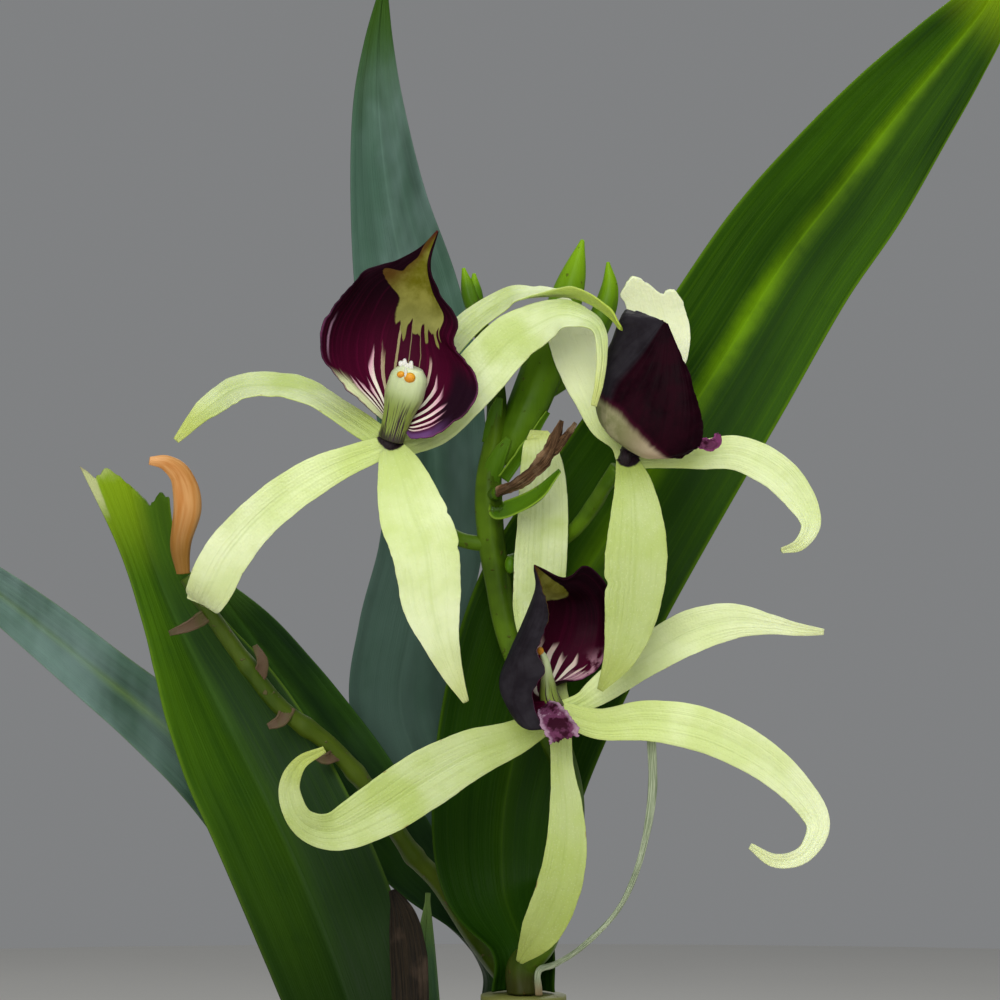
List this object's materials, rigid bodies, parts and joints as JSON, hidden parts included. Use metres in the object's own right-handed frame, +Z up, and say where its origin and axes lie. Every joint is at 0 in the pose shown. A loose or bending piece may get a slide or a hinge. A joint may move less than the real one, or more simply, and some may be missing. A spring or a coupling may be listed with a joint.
{
  "type": "potted encyclia orchid",
  "caption": "Potted encyclia orchid in bloom: shell-lipped pale green flowers on a stem, strap leaves on pseudobulbs, bark and a plain clay pot.",
  "frame": {"origin": "middle of the flat underside of the pot, on the surface that it stands on", "axes": "+Z up; -Y towards the side that the blooms face; +X to the right as seen from there"},
  "size_m": [0.1808, 0.13, 0.3427],
  "materials": {
    "terracotta": "matt unglazed clay",
    "bark": "rough dry bark chips",
    "root": "matt, velvety",
    "bulb": "satin skin",
    "leaf_green": "satin",
    "leaf_grey_green": "satin with a waxy bloom",
    "stem_green": "satin",
    "tepal": "satin, finely sparkling",
    "lip": "satin to glossy",
    "column": "satin",
    "dry": "matt, shrivelled",
    "orange": "matt, shrivelled",
    "strand": "matt"
  },
  "bodies": {
    "root": {"pot": "terracotta", "bark_mix": "bark", "rhizome_and_roots": "root", "pseudobulb_front": "bulb", "pseudobulb_back": "bulb", "pseudobulb_left": "bulb", "pseudobulb_far": "bulb", "leaf_right": "leaf_green", "leaf_back": "leaf_grey_green", "leaf_inner_left": "leaf_green", "leaf_torn": "leaf_green", "leaf_far_left": "leaf_grey_green", "young_leaf": "leaf_green", "dry_leaf_stub": "dry", "bloom_left_tepals": "tepal", "bloom_left_lip": "lip", "bloom_left_column": "column", "bloom_right_tepals": "tepal", "bloom_right_lip": "lip", "bloom_right_column": "column", "bloom_low_tepals": "tepal", "bloom_low_lip": "lip", "bloom_low_column": "column", "flower_stem": "stem_green", "withered_bloom": "dry", "sheath_strand": "strand", "spent_stem": "stem_green", "withered_bud": "orange"}
  },
  "joints": []
}
